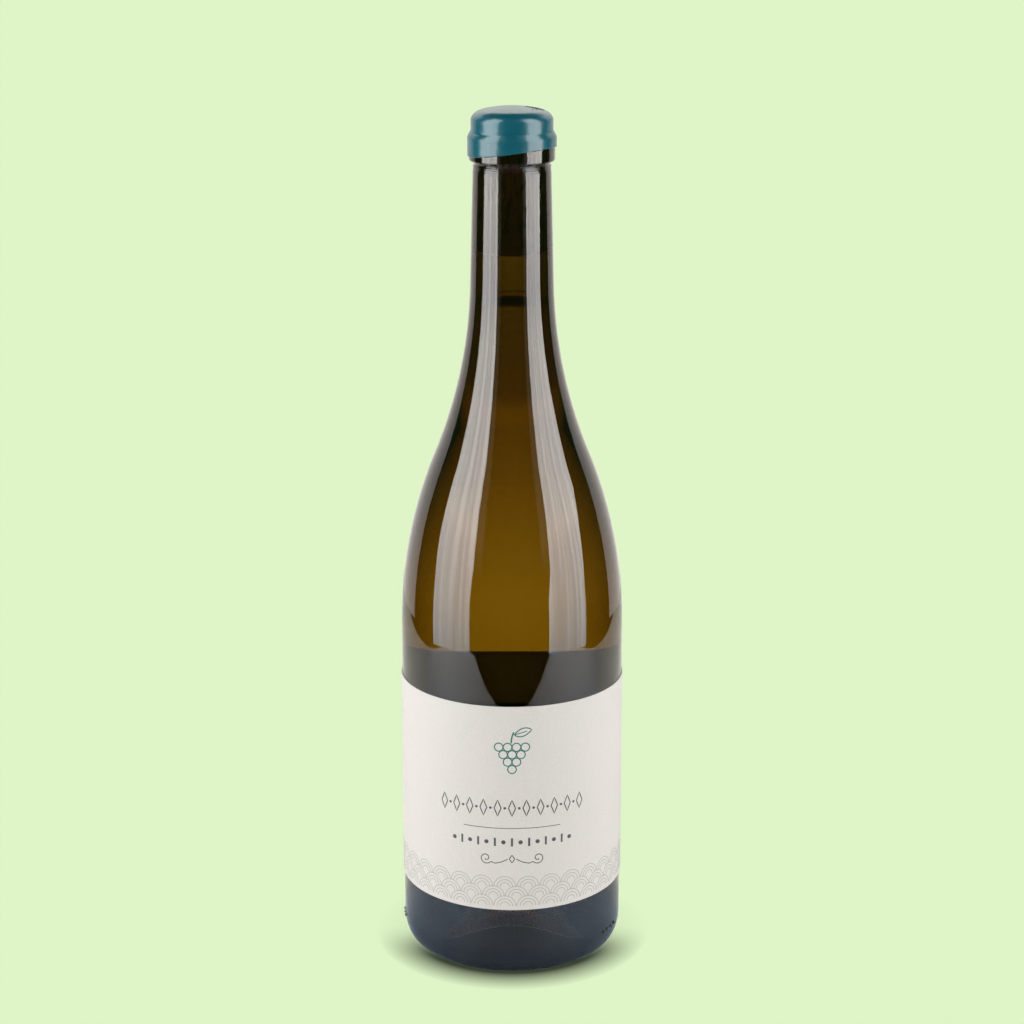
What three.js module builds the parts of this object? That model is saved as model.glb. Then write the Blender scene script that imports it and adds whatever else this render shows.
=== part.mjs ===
// A full wine bottle with sloping shoulders: tinted glass, wine, cork, a dipped wax seal over the
// mouth and a paper label that wraps round the body. Millimetres, +Z up, standing on z = 0 with its
// axis on x = y = 0. The label faces -Y.

import * as THREE from 'three';

// Body and shoulder of the glass
const BODY_RADIUS = 40.45;
const SHOULDER_START = 123.3; // height where the straight wall ends
const CONVEX_RADIUS = 169; // upper body, curving inwards
const CONCAVE_RADIUS = 172.7; // lower neck, curving back to upright
const NECK_BASE_RADIUS = 14.85; // where the concave arc ends
const NECK_TAPER = THREE.MathUtils.degToRad(1.46);

// Foot of the glass
const HEEL_INSET = 4.6; // how far the heel's curve pulls in
const HEEL_HEIGHT = 9.5;
const PUNT_RADIUS = 32.4; // hollow under the foot; the bottle stands on the flat ring round it
const PUNT_HEIGHT = 33;

// Finish at the mouth
const RING_BOTTOM = 292.6;
const RING_TOP = 302.4;
const RING_RADIUS = 15.1;
const RING_ROUNDING = 0.8;
const LIP_RADIUS = 13.6;
const LIP_ROUNDING = 1.6;
const MOUTH_HEIGHT = 308.8;
const MOUTH_BORE_RADIUS = 9.3;
const MOUTH_CHAMFER = 0.5;

// Wall thickness
const BODY_WALL = 2.9;
const NECK_WALL = 5.3;
const FLOOR_THICKNESS = 7; // over the middle of the punt
const FLOOR_VALLEY_RADIUS = 31; // lowest line of the inside, round the punt
const FLOOR_VALLEY_HEIGHT = 4.6;

// Contents and closures
const FILL_LEVEL = 243.9;
const CORK_BOTTOM = 260.5;
const CORK_BELOW_MOUTH = 0.8;
const CORK_CHAMFER = 0.6;
const WAX_RING_RADIUS = 15.65; // outside of the wax where it covers the ring
const WAX_LIP_RADIUS = 14.45; // and where it covers the lip
const WAX_WAIST_HEIGHT = 305.5; // end of the soft step between the two
const WAX_SHOULDER_HEIGHT = 306.6; // from here the wax rounds in to its top
const WAX_SHOULDER_WIDTH = 6;
const WAX_SHOULDER_RISE = 3.9;
const WAX_SHOULDER_END_DEGREES = 75;
const WAX_TOP = 311.6;
const WAX_EDGE_ROUNDING = 0.3;
const WAX_EDGE_HEIGHT = 295.8; // mean height of the wax's lower edge
const WAX_EDGE_RISE_X = 1.6; // it runs up towards +X,
const WAX_EDGE_RISE_FRONT = 0.9; // and a little towards -Y,
const WAX_EDGE_WAVE = 0.25; // with a faint wave round the ring
const WAX_STRAIGHT_ABOVE = 300.5; // over this height the edge's waviness no longer shows

// Label
const LABEL_BOTTOM = 26.3;
const LABEL_TOP = 104.7;
const LABEL_THICKNESS = 0.2;
const LABEL_OFFSET = 0.12; // glue line between paper and glass
const LABEL_GAP_MIDDLE = THREE.MathUtils.degToRad(135); // turn from the front to the gap at the back
const LABEL_GAP_WIDTH = 4;

// Gaps that keep neighbouring solids apart
const WINE_GAP = 0.25;
const CORK_GAP = 0.15;
const WAX_GAP = 0.15;

// Facets
const SIDES = 60;
const SHOULDER_STEPS = 7;
const INNER_SHOULDER_STEPS = 9;
const HEEL_STEPS = 5;
const DOME_STEPS = 6;
const VALLEY_STEPS = 4;
const ROUNDING_STEPS = 2;
const WAX_STEPS = 4;

// Heights and angles that follow from the shoulder's two tangent arcs
const SHOULDER_TILT = Math.acos(
  (NECK_BASE_RADIUS - BODY_RADIUS + CONVEX_RADIUS + CONCAVE_RADIUS * Math.cos(NECK_TAPER))
    / (CONVEX_RADIUS + CONCAVE_RADIUS),
);
const INFLECTION_HEIGHT = SHOULDER_START + CONVEX_RADIUS * Math.sin(SHOULDER_TILT);
const INFLECTION_RADIUS = BODY_RADIUS - CONVEX_RADIUS * (1 - Math.cos(SHOULDER_TILT));
const NECK_BASE_HEIGHT = INFLECTION_HEIGHT
  + CONCAVE_RADIUS * (Math.sin(SHOULDER_TILT) - Math.sin(NECK_TAPER));

/** Outer radius of the glass at a height between the heel and the ring. */
function outerRadius(height) {
  if (height <= SHOULDER_START) {
    return BODY_RADIUS;
  }
  if (height <= INFLECTION_HEIGHT) {
    const angle = Math.asin((height - SHOULDER_START) / CONVEX_RADIUS);
    return BODY_RADIUS - CONVEX_RADIUS * (1 - Math.cos(angle));
  }
  if (height <= NECK_BASE_HEIGHT) {
    const angle = Math.asin(Math.sin(SHOULDER_TILT) - (height - INFLECTION_HEIGHT) / CONCAVE_RADIUS);
    return INFLECTION_RADIUS - CONCAVE_RADIUS * (Math.cos(angle) - Math.cos(SHOULDER_TILT));
  }
  return NECK_BASE_RADIUS - (height - NECK_BASE_HEIGHT) * Math.tan(NECK_TAPER);
}

/** Inner radius of the glass: the wall thickens smoothly up the shoulder, then the bore narrows. */
function innerRadius(height) {
  if (height <= NECK_BASE_HEIGHT) {
    const wall = BODY_WALL + (NECK_WALL - BODY_WALL)
      * THREE.MathUtils.smoothstep(height, SHOULDER_START, NECK_BASE_HEIGHT);
    return outerRadius(height) - wall;
  }
  const share = (height - NECK_BASE_HEIGHT) / (MOUTH_HEIGHT - NECK_BASE_HEIGHT);
  return THREE.MathUtils.lerp(NECK_BASE_RADIUS - NECK_WALL, MOUTH_BORE_RADIUS, share);
}

/** Heights from one to another in equal steps, both ends included. */
function heightsBetween(low, high, steps) {
  return Array.from({ length: steps + 1 }, (_, i) => THREE.MathUtils.lerp(low, high, i / steps));
}

/** Points of an elliptical arc in a profile, where x is the radius and y the height. */
function arcPoints(centreX, centreY, radiusX, radiusY, startDegrees, endDegrees, steps) {
  return Array.from({ length: steps + 1 }, (_, i) => {
    const angle = THREE.MathUtils.degToRad(THREE.MathUtils.lerp(startDegrees, endDegrees, i / steps));
    return new THREE.Vector2(centreX + radiusX * Math.cos(angle), centreY + radiusY * Math.sin(angle));
  });
}

/** A rounded upper edge, from the side up to the top, grown outwards by a gap. */
function roundedEdge(radius, top, rounding, gap) {
  const reach = rounding + gap;
  return arcPoints(radius - rounding, top - rounding, reach, reach, 0, 90, ROUNDING_STEPS);
}

/** A dome from the axis out to a radius, level at both ends. */
function domePoints(radius, rimHeight, topHeight, steps) {
  return Array.from({ length: steps + 1 }, (_, i) => {
    const share = i / steps;
    const height = rimHeight + (topHeight - rimHeight) * (1 + Math.cos(Math.PI * share)) / 2;
    return new THREE.Vector2(radius * share, height);
  });
}

/** The inside of the bottle from the middle of its floor up to a height, drawn in by a gap. */
function cavityPoints(topHeight, gap) {
  const floorTop = PUNT_HEIGHT + FLOOR_THICKNESS;
  const cornerRadius = BODY_RADIUS - BODY_WALL - FLOOR_VALLEY_RADIUS;
  const cornerHeight = FLOOR_VALLEY_HEIGHT + cornerRadius;
  const reach = cornerRadius - gap;
  const floor = domePoints(FLOOR_VALLEY_RADIUS, FLOOR_VALLEY_HEIGHT + gap, floorTop + gap, DOME_STEPS);
  const corner = arcPoints(FLOOR_VALLEY_RADIUS, cornerHeight, reach, reach, -90, 0, VALLEY_STEPS);
  const wall = heightsBetween(SHOULDER_START, NECK_BASE_HEIGHT, INNER_SHOULDER_STEPS)
    .filter((height) => height < topHeight)
    .concat(topHeight)
    .map((height) => new THREE.Vector2(innerRadius(height) - gap, height));
  return [...floor, ...corner.slice(1), ...wall];
}

/** A profile turned round the Z axis; it starts and ends on the axis. */
function revolve(profile) {
  return new THREE.LatheGeometry(profile, SIDES).rotateX(Math.PI / 2);
}

/** Glass: punt, foot, body, shoulder, neck, ring and lip outside, then the bore and floor inside. */
function glassGeometry() {
  const ringSide = RING_RADIUS - RING_ROUNDING;
  const outside = [
    ...domePoints(PUNT_RADIUS, 0, PUNT_HEIGHT, DOME_STEPS),
    ...arcPoints(BODY_RADIUS - HEEL_INSET, HEEL_HEIGHT, HEEL_INSET, HEEL_HEIGHT, -90, 0, HEEL_STEPS),
    ...heightsBetween(SHOULDER_START, NECK_BASE_HEIGHT, SHOULDER_STEPS * 2)
      .map((height) => new THREE.Vector2(outerRadius(height), height)),
    new THREE.Vector2(outerRadius(RING_BOTTOM), RING_BOTTOM),
    ...arcPoints(ringSide, RING_BOTTOM + RING_ROUNDING, RING_ROUNDING, RING_ROUNDING, -90, 0, ROUNDING_STEPS),
    ...roundedEdge(RING_RADIUS, RING_TOP, RING_ROUNDING, 0),
    new THREE.Vector2(LIP_RADIUS, RING_TOP),
    ...roundedEdge(LIP_RADIUS, MOUTH_HEIGHT, LIP_ROUNDING, 0),
    new THREE.Vector2(MOUTH_BORE_RADIUS + MOUTH_CHAMFER, MOUTH_HEIGHT),
  ];
  const inside = cavityPoints(MOUTH_HEIGHT - MOUTH_CHAMFER, 0).reverse();
  return revolve([...outside, ...inside]);
}

/** Wine: everything inside the glass up to the fill level. */
function wineGeometry() {
  return revolve([...cavityPoints(FILL_LEVEL, WINE_GAP), new THREE.Vector2(0, FILL_LEVEL)]);
}

/** Cork: fills the bore, with a small chamfer at each end. */
function corkGeometry() {
  const top = MOUTH_HEIGHT - CORK_BELOW_MOUTH;
  const bottomRadius = innerRadius(CORK_BOTTOM) - CORK_GAP;
  const topRadius = innerRadius(top) - CORK_GAP;
  return revolve([
    new THREE.Vector2(0, CORK_BOTTOM),
    new THREE.Vector2(bottomRadius - CORK_CHAMFER, CORK_BOTTOM),
    new THREE.Vector2(bottomRadius, CORK_BOTTOM + CORK_CHAMFER),
    new THREE.Vector2(topRadius, top - CORK_CHAMFER),
    new THREE.Vector2(topRadius - CORK_CHAMFER, top),
    new THREE.Vector2(0, top),
  ]);
}

/** Height of the wax's lower edge at a turn from the front, positive towards +X. */
function waxEdgeHeight(turn) {
  return WAX_EDGE_HEIGHT
    + WAX_EDGE_RISE_X * Math.sin(turn)
    + WAX_EDGE_RISE_FRONT * Math.cos(turn)
    + WAX_EDGE_WAVE * Math.sin(2 * turn);
}

/** Wax seal: a skin over mouth, lip and ring that follows their steps softly. */
function waxGeometry() {
  const innerSide = RING_RADIUS + WAX_GAP;
  const inside = [
    new THREE.Vector2(0, MOUTH_HEIGHT + WAX_GAP),
    ...roundedEdge(LIP_RADIUS, MOUTH_HEIGHT, LIP_ROUNDING, WAX_GAP).reverse(),
    new THREE.Vector2(LIP_RADIUS + WAX_GAP, RING_TOP + WAX_GAP),
    ...roundedEdge(RING_RADIUS, RING_TOP, RING_ROUNDING, WAX_GAP).reverse(),
    new THREE.Vector2(innerSide, WAX_EDGE_HEIGHT + WAX_EDGE_ROUNDING),
  ];
  const step = heightsBetween(WAX_STRAIGHT_ABOVE, WAX_WAIST_HEIGHT, WAX_STEPS).map((height) => {
    const share = THREE.MathUtils.smoothstep(height, WAX_STRAIGHT_ABOVE, WAX_WAIST_HEIGHT);
    return new THREE.Vector2(THREE.MathUtils.lerp(WAX_RING_RADIUS, WAX_LIP_RADIUS, share), height);
  });
  const outside = [
    new THREE.Vector2((innerSide + WAX_RING_RADIUS) / 2, WAX_EDGE_HEIGHT),
    new THREE.Vector2(WAX_RING_RADIUS, WAX_EDGE_HEIGHT + WAX_EDGE_ROUNDING),
    ...step,
    ...arcPoints(
      WAX_LIP_RADIUS - WAX_SHOULDER_WIDTH, WAX_SHOULDER_HEIGHT, WAX_SHOULDER_WIDTH, WAX_SHOULDER_RISE,
      0, WAX_SHOULDER_END_DEGREES, WAX_STEPS,
    ),
    new THREE.Vector2(0, WAX_TOP),
  ];
  const geometry = revolve([...inside, ...outside]);
  const position = geometry.attributes.position;
  for (let i = 0; i < position.count; i += 1) {
    const height = position.getZ(i);
    if (height < WAX_STRAIGHT_ABOVE) {
      const turn = Math.atan2(position.getX(i), -position.getY(i));
      const share = (WAX_STRAIGHT_ABOVE - height) / (WAX_STRAIGHT_ABOVE - WAX_EDGE_HEIGHT);
      position.setZ(i, height + (waxEdgeHeight(turn) - WAX_EDGE_HEIGHT) * share);
    }
  }
  return geometry;
}

/** Label: one strip of paper round the body, its two ends a small gap apart at the back. */
function labelGeometry() {
  const inner = BODY_RADIUS + LABEL_OFFSET;
  const outer = inner + LABEL_THICKNESS;
  const halfGap = LABEL_GAP_WIDTH / 2 / inner;
  const frontAngle = -Math.PI / 2;
  const start = frontAngle + LABEL_GAP_MIDDLE + halfGap;
  const end = start + 2 * (Math.PI - halfGap);
  const outline = new THREE.Shape()
    .absarc(0, 0, outer, start, end, false)
    .absarc(0, 0, inner, end, start, true);
  return new THREE.ExtrudeGeometry(outline, {
    depth: LABEL_TOP - LABEL_BOTTOM,
    curveSegments: SIDES / 2,
    bevelEnabled: false,
  }).translate(0, 0, LABEL_BOTTOM);
}

/** A named piece with its own material. */
function piece(name, geometry, look) {
  const mesh = new THREE.Mesh(geometry, new THREE.MeshStandardMaterial({ ...look, metalness: 0 }));
  mesh.name = name;
  return mesh;
}

const bottle = new THREE.Group();
bottle.name = 'wine_bottle';
bottle.add(
  piece('bottle_glass', glassGeometry(), { color: 0x5c4a14, roughness: 0.05 }),
  piece('wine', wineGeometry(), { color: 0xd9c877, roughness: 0.05 }),
  piece('cork', corkGeometry(), { color: 0xb08a5c, roughness: 0.85 }),
  piece('wax_seal', waxGeometry(), { color: 0x165b68, roughness: 0.35 }),
  piece('label', labelGeometry(), { color: 0xe6e3dc, roughness: 0.9 }),
);

export default bottle;
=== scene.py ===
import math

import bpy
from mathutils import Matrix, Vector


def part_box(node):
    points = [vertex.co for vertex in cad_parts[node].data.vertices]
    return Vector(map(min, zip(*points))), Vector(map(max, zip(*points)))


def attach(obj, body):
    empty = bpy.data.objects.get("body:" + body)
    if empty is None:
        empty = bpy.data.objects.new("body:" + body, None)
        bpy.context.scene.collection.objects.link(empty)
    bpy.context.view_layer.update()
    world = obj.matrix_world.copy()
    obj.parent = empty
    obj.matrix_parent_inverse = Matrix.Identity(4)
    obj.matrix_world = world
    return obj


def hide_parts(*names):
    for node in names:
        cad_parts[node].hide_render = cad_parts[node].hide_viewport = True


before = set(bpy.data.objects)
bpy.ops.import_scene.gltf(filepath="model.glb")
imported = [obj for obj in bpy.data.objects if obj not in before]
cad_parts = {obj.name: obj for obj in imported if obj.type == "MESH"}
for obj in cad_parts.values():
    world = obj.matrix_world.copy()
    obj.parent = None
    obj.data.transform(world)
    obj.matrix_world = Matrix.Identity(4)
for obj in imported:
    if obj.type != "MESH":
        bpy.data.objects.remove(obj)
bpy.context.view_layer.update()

# A full wine bottle on a pale floor: tinted glass, wine, cork, dipped wax seal and a printed paper
# label. Sizes are in millimetres and are turned into metres where a mesh is made. A turn is the
# angle round the bottle's axis from the front of the label, positive towards +X.

MM = 0.001
BODY = "root"


def node_box(node):
    """Lowest and highest corner of a CAD node, in millimetres."""
    low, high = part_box(node)
    return Vector(low) / MM, Vector(high) / MM


def node_top(node):
    """Highest corner of a CAD node, in millimetres."""
    return node_box(node)[1]


cork_low, cork_high = node_box("cork")
label_low, label_high = node_box("label")

# Glass: outside of body, shoulder and neck
BODY_RADIUS = node_top("bottle_glass").x
SHOULDER_START = 123.3
CONVEX_RADIUS = 169
CONCAVE_RADIUS = 172.7
NECK_BASE_RADIUS = 14.85
NECK_TAPER = math.radians(1.46)

# Glass: foot and mouth
HEEL_INSET = 4.6
HEEL_HEIGHT = 9.5
PUNT_RADIUS = 32.4
PUNT_HEIGHT = 33
RING_BOTTOM = 292.6
RING_TOP = 302.4
RING_RADIUS = 15.1
RING_ROUNDING = 0.8
RING_SIDE_INSET = 1  # the ring's flat side keeps this far from its lower and upper edge
RING_FILLET = 0.95  # hollow rounding where the ring meets the neck
RING_FILLET_END = 125  # degrees along its circle, where the ring's underside begins
LIP_RADIUS = 13.6
LIP_ROUNDING = 1.6
MOUTH_HEIGHT = node_top("bottle_glass").z
MOUTH_BORE_RADIUS = 9.3
MOUTH_CHAMFER = 0.5
HEEL_DOT = 0.62
HEEL_DOT_PITCH = 4.4  # degrees from dot to dot
HEEL_DOT_GROUPS = ((57, 4, 8.6), (-90, 3, 8.2))  # turn of the first dot, number of dots, height
MOULD_LINES = ((289.6, 0.10), (290.35, 0.14), (291.5, 0.34))  # height and depth of the neck's grooves
MOULD_LINE_WIDTH = 0.3
FINE_ROWS_ABOVE = 288.5  # rows of the mesh are close here, for those grooves
FINE_ROW_STEP = 0.07

# Glass: wall
BODY_WALL = 2.9
NECK_WALL = 5.3
FLOOR_THICKNESS = 7
FLOOR_VALLEY_RADIUS = 31
FLOOR_VALLEY_HEIGHT = 4.6

# Wine and cork reach just into the wall, so that no air shows between them and the glass
FILL_LEVEL = node_top("wine").z
WINE_REACH = 0.1
MENISCUS_RISE = 1.6
MENISCUS_LENGTH = 1.6
CORK_REACH = 0.03
CORK_CHAMFER = 0.6

# Wax seal
WAX_RING_RADIUS = 15.65
WAX_LIP_RADIUS = 14.45
WAX_WAIST_HEIGHT = 303.9
WAX_SHOULDER_HEIGHT = 306.6
WAX_SHOULDER_WIDTH = 6
WAX_SHOULDER_RISE = 3.9
WAX_SHOULDER_END = 75  # degrees up its arc, where the top begins
WAX_TOP = node_top("wax_seal").z
WAX_TOP_CURVE = 1.6  # power of the radius by which the top falls away
WAX_EDGE_HEIGHT = 295.8
WAX_EDGE_ROUNDING = 0.4
WAX_EDGE_RISE_X = 1.6
WAX_EDGE_RISE_FRONT = 0.9
WAX_EDGE_WAVE = 0.25
WAX_STRAIGHT_ABOVE = 300.5
WAX_CREASE_HEIGHT = 303.0
WAX_CREASE_DEPTH = 0.11  # of the uneven crease at the foot of the waist
WAX_CREASE_WIDTH = 0.4
WAX_CREASE_UNEVEN = 0.3  # share by which its depth changes round the wax
WAX_CREASE_SWING = 0.25  # how far it rises and falls round the wax
WAX_ROW_STEP = 0.1
WAX_CONTACT = 0.02
# A dark line of painted shade along a crease in the wax's top, and two dark specks
CREASE_SHADE_START = (4.6, 0.6)  # place over the wax's top, seen from above
CREASE_SHADE_END = (11.2, -1.4)
CREASE_SHADE_REACH = 0.24
SPECKS = ((7.2, -3.4), (8.4, -2.6))
SPECK_REACH = (0.24, 0.24, 0.16)

# Label
LABEL_BOTTOM = label_low.z
LABEL_TOP = label_high.z
LABEL_RADIUS = label_high.x
LABEL_GAP_MIDDLE = math.radians(135)
LABEL_GAP_WIDTH = 4
LABEL_CONTACT = 0.02
PRINT_HEIGHT = 0.02  # ink over the paper
PRINT_DEPTH = 0.03  # and into it

# Print: places are up or across from the middle of the label's front
GRAPE_RADIUS = 1.55
GRAPE_TOP_ROW = 24
EMBLEM_LINE = 0.42
STALK_HEIGHT = 4.2
STALK_LINE = 0.55
LEAF_LENGTH = 6.2
LEAF_RISE = 1.8
LEAF_HALF_WIDTH = 1.52
VEIN_LINE = 0.32
LOZENGE_ROW = 0.6
LOZENGE_PITCH = 5.2
RULE_ROW = -7.2
RULE_HALF = 18
BAR_ROW = -12.6
BAR_PITCH = 3.1
BAR_HALF = 1.6
CURL_X = 9.5
CURL_Y = -19
CURL_REACH = 2.3
CURL_POINTS = 40
CURL_LINE = 0.35
SCALLOPS = 30
SCALLOP_MARGIN = 1.6
SCALLOP_ROW = 3.78  # height from row to row
SCALLOP_LINE = 0.28

# Fineness of the meshes
SIDES = 192
CORK_SIDES = 96
LABEL_COLUMNS = 240
ROW_STEP = 1.6
SAME_PLACE = 1e-4  # points closer than this are one point

# Materials: colours are linear, noise scales in cycles a metre and bumps in millimetres
GLASS_IOR = 1.52
GLASS_RIPPLE_SCALE = 45
GLASS_RIPPLE_BUMP = 0.01
GLASS_PASSES = (0.243, 0.134, 0.02)  # share of red, green and blue light let through
GLASS_PASS_LENGTH = 5.8  # by this much glass
WINE_IOR = 1.34
WINE_PASSES = (0.98, 0.76, 0.2)
WINE_PASS_LENGTH = 75
CORK_GRAIN_SCALE = 420
CORK_GRAIN_BUMP = 0.2
CORK_STOPS = [(0.34, (0.12, 0.09, 0.04)), (0.46, (0.40, 0.32, 0.17)), (0.7, (0.52, 0.42, 0.24))]
WAX_IOR = 1.45
WAX_ROUGHNESS = 0.23
WAX_DARK = (0.004, 0.087, 0.119)
WAX_LIGHT = (0.006, 0.108, 0.144)
# painted shade of the crease in the wax's top, also the colour of its two specks
WAX_CREASE_SHADE_AND_SPECK_COLOUR = (0.012, 0.025, 0.028)
WAX_SOFT_SCALE = 120
WAX_SOFT_BUMP = 0.3
WAX_FINE_SCALE = 1400
WAX_FINE_BUMP = 0.02
PAPER_DARK = (0.71, 0.68, 0.645)
PAPER_LIGHT = (0.81, 0.778, 0.738)
PAPER_FIBRE_SCALE = 2600
PAPER_FIBRE_BUMP = 0.03
INK_TEAL = (0.035, 0.19, 0.155)
INK_DARK = (0.09, 0.09, 0.10)
INK_FAINT = (0.50, 0.49, 0.46)
INK_SOAK_SCALE = 3000
INK_SOAK = 0.9  # the darkest ink, as a share of the lightest

SHOULDER_TILT = math.acos(
    (NECK_BASE_RADIUS - BODY_RADIUS + CONVEX_RADIUS + CONCAVE_RADIUS * math.cos(NECK_TAPER))
    / (CONVEX_RADIUS + CONCAVE_RADIUS)
)
INFLECTION_HEIGHT = SHOULDER_START + CONVEX_RADIUS * math.sin(SHOULDER_TILT)
INFLECTION_RADIUS = BODY_RADIUS - CONVEX_RADIUS * (1 - math.cos(SHOULDER_TILT))
NECK_BASE_HEIGHT = INFLECTION_HEIGHT + CONCAVE_RADIUS * (math.sin(SHOULDER_TILT) - math.sin(NECK_TAPER))

LABEL_MIDDLE = (LABEL_BOTTOM + LABEL_TOP) / 2
LABEL_HALF_GAP = LABEL_GAP_WIDTH / 2 / LABEL_RADIUS
LABEL_START = LABEL_GAP_MIDDLE - 2 * math.pi + LABEL_HALF_GAP
LABEL_END = LABEL_GAP_MIDDLE - LABEL_HALF_GAP


def lerp(a, b, share):
    return a + (b - a) * share


def smoothstep(value, low, high):
    share = min(max((value - low) / (high - low), 0), 1)
    return share * share * (3 - 2 * share)


def steps_between(low, high, step):
    """Values from low to high, evenly spaced by about a step, both ends included."""
    count = max(1, round(abs(high - low) / step))
    return [lerp(low, high, i / count) for i in range(count + 1)]


def outer_radius(height):
    """Outer radius of the glass between the heel and the ring."""
    if height <= SHOULDER_START:
        return BODY_RADIUS
    if height <= INFLECTION_HEIGHT:
        angle = math.asin((height - SHOULDER_START) / CONVEX_RADIUS)
        return BODY_RADIUS - CONVEX_RADIUS * (1 - math.cos(angle))
    if height <= NECK_BASE_HEIGHT:
        angle = math.asin(math.sin(SHOULDER_TILT) - (height - INFLECTION_HEIGHT) / CONCAVE_RADIUS)
        return INFLECTION_RADIUS - CONCAVE_RADIUS * (math.cos(angle) - math.cos(SHOULDER_TILT))
    radius = NECK_BASE_RADIUS - (height - NECK_BASE_HEIGHT) * math.tan(NECK_TAPER)
    for middle, depth in MOULD_LINES:
        radius -= depth * math.exp(-((height - middle) / MOULD_LINE_WIDTH) ** 2)
    return radius


def inner_radius(height):
    """Inner radius of the glass: the wall thickens up the shoulder, then the bore narrows."""
    if height <= NECK_BASE_HEIGHT:
        wall = lerp(BODY_WALL, NECK_WALL, smoothstep(height, SHOULDER_START, NECK_BASE_HEIGHT))
        return outer_radius(height) - wall
    share = (height - NECK_BASE_HEIGHT) / (MOUTH_HEIGHT - NECK_BASE_HEIGHT)
    return lerp(NECK_BASE_RADIUS - NECK_WALL, MOUTH_BORE_RADIUS, share)


def arc(centre, reach, start, end, count):
    """Points of an elliptical arc in a profile or in the print. Angles in degrees."""
    angles = [math.radians(lerp(start, end, i / count)) for i in range(count + 1)]
    return [(centre[0] + reach[0] * math.cos(a), centre[1] + reach[1] * math.sin(a)) for a in angles]


def dome(radius, rim_height, top_height, count):
    """Points of a dome from the axis out to a radius, level at both ends."""
    points = []
    for i in range(count + 1):
        share = i / count
        height = lerp(rim_height, top_height, (1 + math.cos(math.pi * share)) / 2)
        points.append((radius * share, height))
    return points


def rounded_edge(radius, top, rounding, gap, count=8):
    """A rounded upper edge of a profile, from the side up to the top, grown outwards by a gap."""
    reach = rounding + gap
    return arc((radius - rounding, top - rounding), (reach, reach), 0, 90, count)


def without_doubles(profile):
    """The profile without points that repeat the one before."""
    kept = [profile[0]]
    for point in profile[1:]:
        if math.dist(point, kept[-1]) > SAME_PLACE:
            kept.append(point)
    return kept


def new_piece(name, verts, faces, material, smooth=True):
    """A mesh piece from points in millimetres, riding on the bottle's one body."""
    mesh = bpy.data.meshes.new(name)
    mesh.from_pydata([(x * MM, y * MM, z * MM) for x, y, z in verts], [], faces)
    mesh.materials.append(material)
    mesh.polygons.foreach_set("use_smooth", [smooth] * len(mesh.polygons))
    mesh.update()
    piece = bpy.data.objects.new(name, mesh)
    bpy.context.scene.collection.objects.link(piece)
    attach(piece, BODY)
    return piece


def on_circle(radius, turn, height):
    """A point at a radius and a turn from the front."""
    return (radius * math.sin(turn), -radius * math.cos(turn), height)


def lathe(profile, reshape=None, sides=SIDES):
    """Points and faces of a profile turned round the axis, where its two ends lie."""
    verts = []
    rows = []
    for radius, height in without_doubles(profile):
        if radius < SAME_PLACE:
            rows.append([len(verts)] * sides)
            verts.append((0, 0, height))
            continue
        rows.append([len(verts) + k for k in range(sides)])
        for k in range(sides):
            turn = 2 * math.pi * k / sides
            place = reshape(radius, height, turn) if reshape else (radius, height)
            verts.append(on_circle(place[0], turn, place[1]))
    faces = []
    for lower, upper in zip(rows, rows[1:]):
        for k in range(sides):
            n = (k + 1) % sides
            corners = [lower[k], lower[n], upper[n], upper[k]]
            faces.append(list(dict.fromkeys(corners)))
    return verts, faces


# Materials


def new_material(name):
    """A material with an empty tree, and its output node."""
    material = bpy.data.materials.new(name)
    material.use_nodes = True
    tree = material.node_tree
    tree.nodes.clear()
    return material, tree, tree.nodes.new("ShaderNodeOutputMaterial")


def set_inputs(node, values):
    for key, value in values.items():
        node.inputs[key].default_value = value


def shader(tree, output, values):
    """A Principled shader on the output, with plain values on its sockets."""
    node = tree.nodes.new("ShaderNodeBsdfPrincipled")
    set_inputs(node, values)
    tree.links.new(node.outputs["BSDF"], output.inputs["Surface"])
    return node


def noise(tree, scale, detail=2.0, roughness=0.5, stretch=(1, 1, 1)):
    """Noise in the piece's own space; the scale is in cycles a metre."""
    coordinates = tree.nodes.new("ShaderNodeTexCoord")
    mapping = tree.nodes.new("ShaderNodeMapping")
    texture = tree.nodes.new("ShaderNodeTexNoise")
    set_inputs(mapping, {"Scale": stretch})
    set_inputs(texture, {"Scale": scale, "Detail": detail, "Roughness": roughness})
    tree.links.new(coordinates.outputs["Object"], mapping.inputs["Vector"])
    tree.links.new(mapping.outputs["Vector"], texture.inputs["Vector"])
    return texture.outputs["Fac"]


def ramp(tree, factor, stops):
    """Colours by a factor, from stops of a position and a colour, the lowest first."""
    node = tree.nodes.new("ShaderNodeValToRGB")
    elements = node.color_ramp.elements
    for element, (position, colour) in ((elements[0], stops[0]), (elements[1], stops[-1])):
        element.position = position
        element.color = (*colour, 1)
    for position, colour in stops[1:-1]:
        elements.new(position).color = (*colour, 1)
    tree.links.new(factor, node.inputs["Fac"])
    return node.outputs["Color"]


def bump(tree, factor, distance, normal=None):
    """A bump whose full height is the distance, in millimetres."""
    node = tree.nodes.new("ShaderNodeBump")
    set_inputs(node, {"Strength": 1.0, "Distance": distance * MM})
    tree.links.new(factor, node.inputs["Height"])
    if normal is not None:
        tree.links.new(normal, node.inputs["Normal"])
    return node.outputs["Normal"]


def absorption(tree, output, colour, density):
    """A volume that takes light, by a colour and a density."""
    node = tree.nodes.new("ShaderNodeVolumeAbsorption")
    set_inputs(node, {"Color": (*colour, 1), "Density": density})
    tree.links.new(node.outputs["Volume"], output.inputs["Volume"])


def absorbing(passed, length):
    """Colour and density of an absorption that passes given shares of light over a length.

    In a metre the volume takes (1 - colour) * density, so the density lies just over the largest
    of the three, which keeps each channel of the colour above zero."""
    taken = [-math.log(share) / (length * MM) for share in passed]
    density = max(taken) * 1.001
    return [1 - value / density for value in taken], density


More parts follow.
